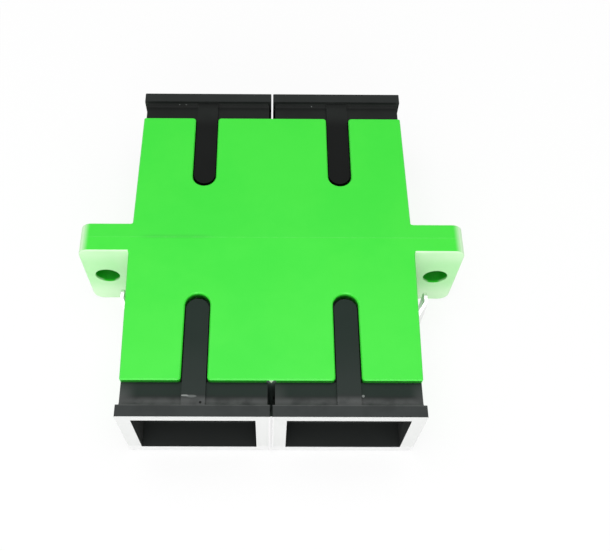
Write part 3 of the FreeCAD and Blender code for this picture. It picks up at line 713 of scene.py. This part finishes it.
class ADAPTER_OT_dust_caps(bpy.types.Operator):
    """Satin black on the dust caps, with pale outer end faces, handling marks, painted light and painted
    shade
    """
    bl_idname = "adapter.dust_caps"
    bl_label = "Dust caps"

    def execute(self, context):
        sizes = context.scene.adapter_mouldings
        material, tree, shader, place = new_material("black_moulding")
        at = Where(tree, place)
        drift = use_group(tree, "Tone drift", {"Vector": at.here, "Size": CAP_DRIFT})["Mask"]
        grain = use_group(tree, "Moulded grain", {"Vector": at.here, "Grain": sizes.grain * CAP_GRAIN,
                                                  "Depth": sizes.grain_depth * CAP_GRAIN_DEPTH})
        wear = use_group(tree, "Edge wear", {"Vector": at.here, "Radius": sizes.edge_radius})["Mask"]
        scratches = use_group(tree, "Fine scratches", {"Vector": at.here,
                                                       "Amount": CAP_SCRATCHES})["Mask"]
        # Painted light greys the caps towards the front; the drift adds random grey tone.
        painted_front_light = ramp(tree, at.y, *FRONT_LIGHT_ALONG, 0.0, FRONT_LIGHT_GREY)
        grey = maths(tree, "MULTIPLY_ADD", drift, DRIFT_GREY, painted_front_light)
        body = mix_colour(tree, grey, sizes.black, sizes.black_grey_tone_and_light)

        across = maths(tree, "ABSOLUTE", maths(tree, "SUBTRACT", at.aside, PORT_X))
        height = maths(tree, "ABSOLUTE", at.z)
        on_top = ramp(tree, at.facing_z, *LEVEL)
        # Painted shade: the ribs inside the key slots and the walls facing the gap between the caps are
        # darker.
        slot_shade = product(tree, maths(tree, "LESS_THAN", across, SLOT_REACH), ramp(tree, at.y, *IN_SLOT),
                          maths(tree, "GREATER_THAN", at.y, 0.0), IN_SLOT_DARKNESS)
        between = product(tree, ramp(tree, at.aside, *BETWEEN_WALLS), opposite(tree, on_top))
        dark = maths(tree, "MAXIMUM", slot_shade, maths(tree, "MULTIPLY", between, BETWEEN_DARKNESS))
        body = mix_colour(tree, dark, body, sizes.black_shade_and_pits)

        front = ramp(tree, at.y, *FRONT_HALF)
        crease = product(tree, ramp(tree, at.along, *CREASE_START), ramp(tree, at.along, *CREASE_END),
                         maths(tree, "GREATER_THAN", height, CREASE_LEAST))
        body = self.rims_and_painted_light(tree, sizes, at, body, across, on_top, front)
        body = self.dust(tree, sizes, at, body, crease, on_top, front)
        body = mix_colour(tree, maths(tree, "MULTIPLY", wear, CAP_WEAR), body, sizes.black_scuff)
        body = mix_colour(tree, maths(tree, "MULTIPLY", scratches, CAP_SCUFFS), body, sizes.black_scuff)
        nicks = product(tree, spots(tree, at.x, at.y, NICKS), on_top, NICK_STRENGTH)
        body = mix_colour(tree, nicks, body, sizes.black_nick)
        smears = product(tree, spots(tree, at.x, at.y, SMEARS), on_top, SMEAR_STRENGTH)
        body = mix_colour(tree, smears, body, sizes.black_nick)
        pits = product(tree, spots(tree, at.x, at.y, PITS), on_top)
        body = mix_colour(tree, pits, body, sizes.black_shade_and_pits)

        # Painted light: the well is greyer than the outside, and its side walls are the palest.
        well = product(tree, maths(tree, "LESS_THAN", across, WELL_HALF_WIDTH),
                       maths(tree, "LESS_THAN", height, WELL_HALF_HEIGHT),
                       maths(tree, "GREATER_THAN", at.along, WELL_START))
        side = ramp(tree, maths(tree, "ABSOLUTE", at.facing_x), *SIDEWAYS)
        inside = mix_colour(tree, side, sizes.black_well_light, sizes.black_side_light)
        body = mix_colour(tree, well, body, inside)
        faces = use_group(tree, "End faces", {"Vector": at.here, "Normal": place["Normal"],
                                              "Reach": RIM_FACE})["Mask"]
        outer_faces = product(tree, faces, opposite(tree, well))
        body = mix_colour(tree, outer_faces, body, self.pale_face(tree, sizes, at))
        tree.links.new(body, shader.inputs["Base Color"])

        rear_crease = product(tree, crease, opposite(tree, front))
        hidden = maths(tree, "MAXIMUM", between, slot_shade)
        link_roughness(tree, shader, sizes.black_roughness - CAP_SWING / 2,
                       (grain["Tone"], CAP_SWING), (scratches, CAP_SCRATCH_ROUGHNESS),
                       (wear, CAP_WEAR_ROUGHNESS), (rear_crease, CAP_CREASE_ROUGHNESS),
                       (hidden, CAP_HIDDEN_ROUGHNESS))
        shader.inputs["Specular IOR Level"].default_value = CAP_SPECULAR
        bump(tree, shader, maths(tree, "MULTIPLY_ADD", scratches, -SCRATCH_DEPTH, grain["Height"]))
        dress(material, [f"cap_{end}_{side}" for end, side in PORTS])
        return {"FINISHED"}

    def rims_and_painted_light(self, tree, sizes, at, body, across, on_top, front):
        """Grey rims, greyer at the front as painted light; painted reflection of the green housing on the
        front necks and ribs; painted light on the front necks' outer ends, middle and ribs.
        """
        # Rims are greyer, and greyer still at the front as painted light.
        rims = product(tree, ramp(tree, at.along, *RIM_START),
                       maths(tree, "MULTIPLY_ADD", front, RIM_GREY_FRONT_LIGHT, RIM_GREY_REAR))
        body = mix_colour(tree, rims, body, sizes.black_rim_grey_and_sheen)
        # Painted reflection of the green housing on the front necks and ribs.
        neck = product(tree, on_top, front, maths(tree, "LESS_THAN", at.along, RIM_BACK))
        outside = maths(tree, "MAXIMUM", maths(tree, "GREATER_THAN", at.along, HOUSING_END - END_SKIN),
                        maths(tree, "LESS_THAN", across, SLOT_REACH))
        glow = product(tree, neck, outside, ramp(tree, at.y, *GREEN_REFLECTION_ALONG), GREEN_REFLECTION_STRENGTH)
        body = mix_colour(tree, glow, body, sizes.black_green_reflection)
        # Painted light: the front necks are lighter towards their outer ends, near the middle and towards
        # the rims.
        middle = product(tree, ramp(tree, at.x, *MIDDLE_LIGHT, 0.0, MIDDLE_LIGHT_STRENGTH),
                         maths(tree, "GREATER_THAN", at.x, 0.0))
        outer = maths(tree, "MAXIMUM", ramp(tree, at.x, *LEFT_LIGHT),
                      ramp(tree, at.x, *RIGHT_LIGHT, 0.0, RIGHT_LIGHT_STRENGTH))
        ends = product(tree, neck, maths(tree, "MAXIMUM", outer, middle),
                       ramp(tree, at.y, *NECK_LIGHT_ALONG, *NECK_LIGHT_STRENGTH))
        body = mix_colour(tree, ends, body, sizes.black_painted_highlight)
        # Painted light: the ribs on the front necks are lighter towards the rims.
        rib = product(tree, ramp(tree, at.y, *RIB_LIGHT, 0.0, RIB_LIGHT_STRENGTH), on_top,
                      ramp(tree, across, *RIB_EDGE))
        return mix_colour(tree, rib, body, sizes.black_rim_grey_and_sheen)

    def dust(self, tree, sizes, at, body, crease, on_top, front):
        """Painted light on the front necks' tops towards the rims, in patches, and a painted highlight
        along the crease behind the front rims; painted shade in the rear crease, with a trace of the
        highlight.
        """
        patchy = ramp(tree, noise(tree, at.here, PATCHES, detail=3), *PATCHES_RANGE, PATCHES_LEAST, 1.0)
        lit_near_rim = product(tree, ramp(tree, at.y, *RIM_LIGHT_ALONG, 0.0, RIM_LIGHT_STRENGTH), on_top, patchy)
        body = mix_colour(tree, lit_near_rim, body, sizes.black_rim_grey_and_sheen)
        crease_highlight = product(tree, crease, patchy,
                          maths(tree, "MULTIPLY_ADD", front, CREASE_HIGHLIGHT, CREASE_HIGHLIGHT_REAR))
        body = mix_colour(tree, crease_highlight, body, sizes.black_painted_highlight)
        # Painted shade in the rear crease.
        dark = product(tree, crease, opposite(tree, front), on_top, CREASE_DARKNESS_REAR)
        return mix_colour(tree, dark, body, sizes.black_shade_and_pits)

    def pale_face(self, tree, sizes, at):
        """Pale outer end faces with a faint cloud; the lower bar and the edges by the middle are lighter
        still, a painted reflection of the bright floor.
        """
        cloud = ramp(tree, noise(tree, at.here, FACE_CLOUD, detail=3), *FACE_CLOUD_RANGE,
                     0.0, FACE_CLOUD_STRENGTH)
        face = mix_colour(tree, cloud, sizes.cap_face, sizes.black_scuff)
        light = maths(tree, "MAXIMUM", ramp(tree, at.z, *LOW_BAR, 0.0, LOW_BAR_LIGHT),
                      ramp(tree, at.aside, *MIDDLE_EDGE))
        return mix_colour(tree, light, face, sizes.cap_edge_reflection)


class ADAPTER_OT_sleeve_holders(bpy.types.Operator):
    """Natural, slightly waxy plastic on the sleeve holders"""
    bl_idname = "adapter.sleeve_holders"
    bl_label = "Sleeve holders"

    def execute(self, context):
        sizes = context.scene.adapter_mouldings
        material, tree, shader, place = new_material("holder_moulding")
        here = place["Object"]
        drift = use_group(tree, "Tone drift", {"Vector": here, "Size": HOLDER_DRIFT})["Mask"]
        grain = use_group(tree, "Moulded grain", {"Vector": here, "Grain": sizes.grain,
                                                  "Depth": sizes.grain_depth})
        wear = use_group(tree, "Edge wear", {"Vector": here, "Radius": sizes.edge_radius})["Mask"]
        body = mix_colour(tree, drift, sizes.natural, sizes.natural_shade)
        body = mix_colour(tree, maths(tree, "MULTIPLY", wear, HOLDER_WEAR), body, sizes.natural_edge)
        tree.links.new(body, shader.inputs["Base Color"])
        link_roughness(tree, shader, HOLDER_ROUGHNESS - HOLDER_SWING / 2, (grain["Tone"], HOLDER_SWING))
        bump(tree, shader, grain["Height"])
        dress(material, [f"holder_{end}_{side}" for end, side in PORTS])
        return {"FINISHED"}


class ADAPTER_OT_split_sleeves(bpy.types.Operator):
    """Polished ceramic on the split sleeves, with lapping rings"""
    bl_idname = "adapter.split_sleeves"
    bl_label = "Split sleeves"

    def execute(self, context):
        sizes = context.scene.adapter_hardware
        material, tree, shader, place = new_material("zirconia")
        here = place["Object"]
        cloud = use_group(tree, "Tone drift", {"Vector": here, "Size": SLEEVE_CLOUD})["Mask"]
        rings = add_node(tree, "ShaderNodeTexWave",
                         {"Vector": here, "Scale": SLEEVE_RINGS, "Distortion": SLEEVE_RING_DISTORTION},
                         wave_type="BANDS", bands_direction="Y").outputs["Fac"]
        body = mix_colour(tree, cloud, sizes.ceramic, sizes.ceramic_warm)
        tree.links.new(body, shader.inputs["Base Color"])
        link_roughness(tree, shader, sizes.ceramic_roughness, (rings, SLEEVE_RING_ROUGHNESS))
        shader.inputs["IOR"].default_value = SLEEVE_IOR
        bump(tree, shader, maths(tree, "MULTIPLY", rings, SLEEVE_RING_DEPTH))
        dress(material, [f"sleeve_{side}" for side in SIDES])
        return {"FINISHED"}


class ADAPTER_OT_panel_clip(bpy.types.Operator):
    """Bright rolled steel on the spring clip, with sheared edges and oil"""
    bl_idname = "adapter.panel_clip"
    bl_label = "Panel clip"

    def execute(self, context):
        sizes = context.scene.adapter_hardware
        material, tree, shader, place = new_material("spring_steel")
        here = place["Object"]
        sheet = use_group(tree, "Rolled sheet", {"Vector": here})
        wear = use_group(tree, "Edge wear", {"Vector": here, "Radius": CLIP_EDGE})["Mask"]
        lines = maths(tree, "MULTIPLY", sheet["Lines"], CLIP_LINES)
        body = mix_colour(tree, lines, sizes.steel, sizes.steel_dark)
        body = mix_colour(tree, maths(tree, "MULTIPLY", sheet["Oil"], CLIP_OIL), body, sizes.steel_dark)
        body = mix_colour(tree, maths(tree, "MULTIPLY", wear, CLIP_WEAR), body, sizes.steel_edge)
        tree.links.new(body, shader.inputs["Base Color"])
        link_roughness(tree, shader, sizes.steel_roughness,
                       (sheet["Lines"], CLIP_LINES_ROUGHNESS), (sheet["Oil"], CLIP_OIL_ROUGHNESS))
        shader.inputs["Metallic"].default_value = 1.0
        bump(tree, shader, sheet["Height"])
        dress(material, ("panel_clip",))
        return {"FINISHED"}


def area_lamp(name, place, target, width, power):
    """A square soft box at place, facing target."""
    bpy.ops.object.light_add(type="AREA", location=place)
    lamp = bpy.context.object
    lamp.name = name
    lamp.data.size = width
    lamp.data.energy = power
    lamp.rotation_euler = (Vector(target) - Vector(place)).to_track_quat("-Z", "Y").to_euler()
    return lamp


class ADAPTER_OT_stage(bpy.types.Operator):
    """Pale floor, white surround, two soft boxes and the camera"""
    bl_idname = "adapter.stage"
    bl_label = "Stage"

    def execute(self, context):
        sizes = context.scene.adapter_stage
        scene = context.scene
        bpy.ops.object.select_all(action="DESELECT")
        bpy.ops.mesh.primitive_plane_add(size=sizes.floor_width, location=(0, 0, CAD_BOX[0].z))
        floor = context.object
        floor.name = "floor"
        floor.data.materials.append(self.floor_material(sizes))

        area_lamp("key_soft_box", KEY_PLACE, KEY_TARGET, KEY_WIDTH, sizes.key_power)
        area_lamp("front_soft_box", FILL_PLACE, FILL_TARGET, FILL_WIDTH, sizes.fill_power)

        world = bpy.data.worlds.new("white_surround")
        scene.world = world
        world.use_nodes = True
        tree = world.node_tree
        tree.nodes.clear()
        seen = self.seen_directly(tree)
        strength = maths(tree, "MULTIPLY_ADD", seen, 1.0 - sizes.surround, sizes.surround)
        glow = add_node(tree, "ShaderNodeBackground", {"Color": (1, 1, 1, 1), "Strength": strength})
        surface = tree.nodes.new("ShaderNodeOutputWorld")
        tree.links.new(glow.outputs[0], surface.inputs[0])

        self.add_camera(scene, sizes)
        scene.view_settings.view_transform = "Standard"
        return {"FINISHED"}

    def seen_directly(self, tree):
        """1 for rays from the camera, mirror rays and rays through glass."""
        path = tree.nodes.new("ShaderNodeLightPath").outputs
        seen = maths(tree, "ADD", path["Is Camera Ray"], path["Is Glossy Ray"])
        return maths(tree, "ADD", seen, path["Is Transmission Ray"], clamp=True)

    def floor_material(self, sizes):
        """Pale matt floor that reads as white where it is seen and still takes the shadow."""
        material = bpy.data.materials.new("pale_floor")
        material.use_nodes = True
        tree = material.node_tree
        tree.nodes.clear()
        tone = (sizes.floor_tone,) * 3
        lit = add_node(tree, "ShaderNodeBsdfDiffuse", {"Color": (*tone, 1)})
        shown = add_node(tree, "ShaderNodeBsdfDiffuse", {"Color": (*(sizes.floor_shadow,) * 3, 1)})
        glow = add_node(tree, "ShaderNodeEmission", {"Strength": 1.0 - sizes.floor_shadow})
        white = add_node(tree, "ShaderNodeAddShader", {0: shown.outputs[0], 1: glow.outputs[0]})
        choice = add_node(tree, "ShaderNodeMixShader",
                          {0: self.seen_directly(tree), 1: lit.outputs[0], 2: white.outputs[0]})
        surface = tree.nodes.new("ShaderNodeOutputMaterial")
        tree.links.new(choice.outputs[0], surface.inputs["Surface"])
        return material

    def add_camera(self, scene, sizes):
        """The camera looks at the origin, then turns by the small camera_turn."""
        place = Vector(sizes.camera_place)
        bpy.ops.object.camera_add(location=place)
        camera = bpy.context.object
        camera.name = "camera"
        forward = -place.normalized()
        across = forward.cross(Vector((0, 0, 1))).normalized()
        up = across.cross(forward)
        look = Matrix((across, up, -forward)).transposed()
        turn = Vector(sizes.camera_turn)
        small = Matrix.Rotation(turn.length, 3, turn.normalized()) if turn.length else Matrix.Identity(3)
        camera.rotation_mode = "QUATERNION"
        camera.rotation_quaternion = (look @ small.transposed()).to_quaternion()
        camera.data.sensor_width = SENSOR_WIDTH_MM
        camera.data.lens = sizes.camera_lens
        camera.data.shift_x, camera.data.shift_y = sizes.camera_shift
        camera.data.clip_start = NEAREST_SEEN
        camera.data.clip_end = FARTHEST_SEEN
        scene.camera = camera


STEPS = (
    ADAPTER_OT_shared_effects,
    ADAPTER_OT_green_housing,
    ADAPTER_OT_dust_caps,
    ADAPTER_OT_sleeve_holders,
    ADAPTER_OT_split_sleeves,
    ADAPTER_OT_panel_clip,
    ADAPTER_OT_stage,
)


class ADAPTER_PT_sidebar(bpy.types.Panel):
    """Lists the adapter's steps and sizes"""
    bl_idname = "ADAPTER_PT_sidebar"
    bl_label = "Fibre adapter"
    bl_space_type = "VIEW_3D"
    bl_region_type = "UI"
    bl_category = "Adapter"

    def draw(self, context):
        for step in STEPS:
            self.layout.operator(step.bl_idname)
        for name, group in PROPERTIES.items():
            box = self.layout.box()
            box.label(text=group.__doc__)
            for field in group.__annotations__:
                box.prop(getattr(context.scene, name), field)


CLASSES = (*PROPERTIES.values(), *STEPS, ADAPTER_PT_sidebar)


def register():
    for each in CLASSES:
        bpy.utils.register_class(each)
    for name, group in PROPERTIES.items():
        setattr(bpy.types.Scene, name, PointerProperty(type=group))


def unregister():
    for name in PROPERTIES:
        delattr(bpy.types.Scene, name)
    for each in reversed(CLASSES):
        bpy.utils.unregister_class(each)


def main():
    register()
    for step in STEPS:
        area, name = step.bl_idname.split(".")
        getattr(getattr(bpy.ops, area), name)()


if __name__ == "__main__":
    main()
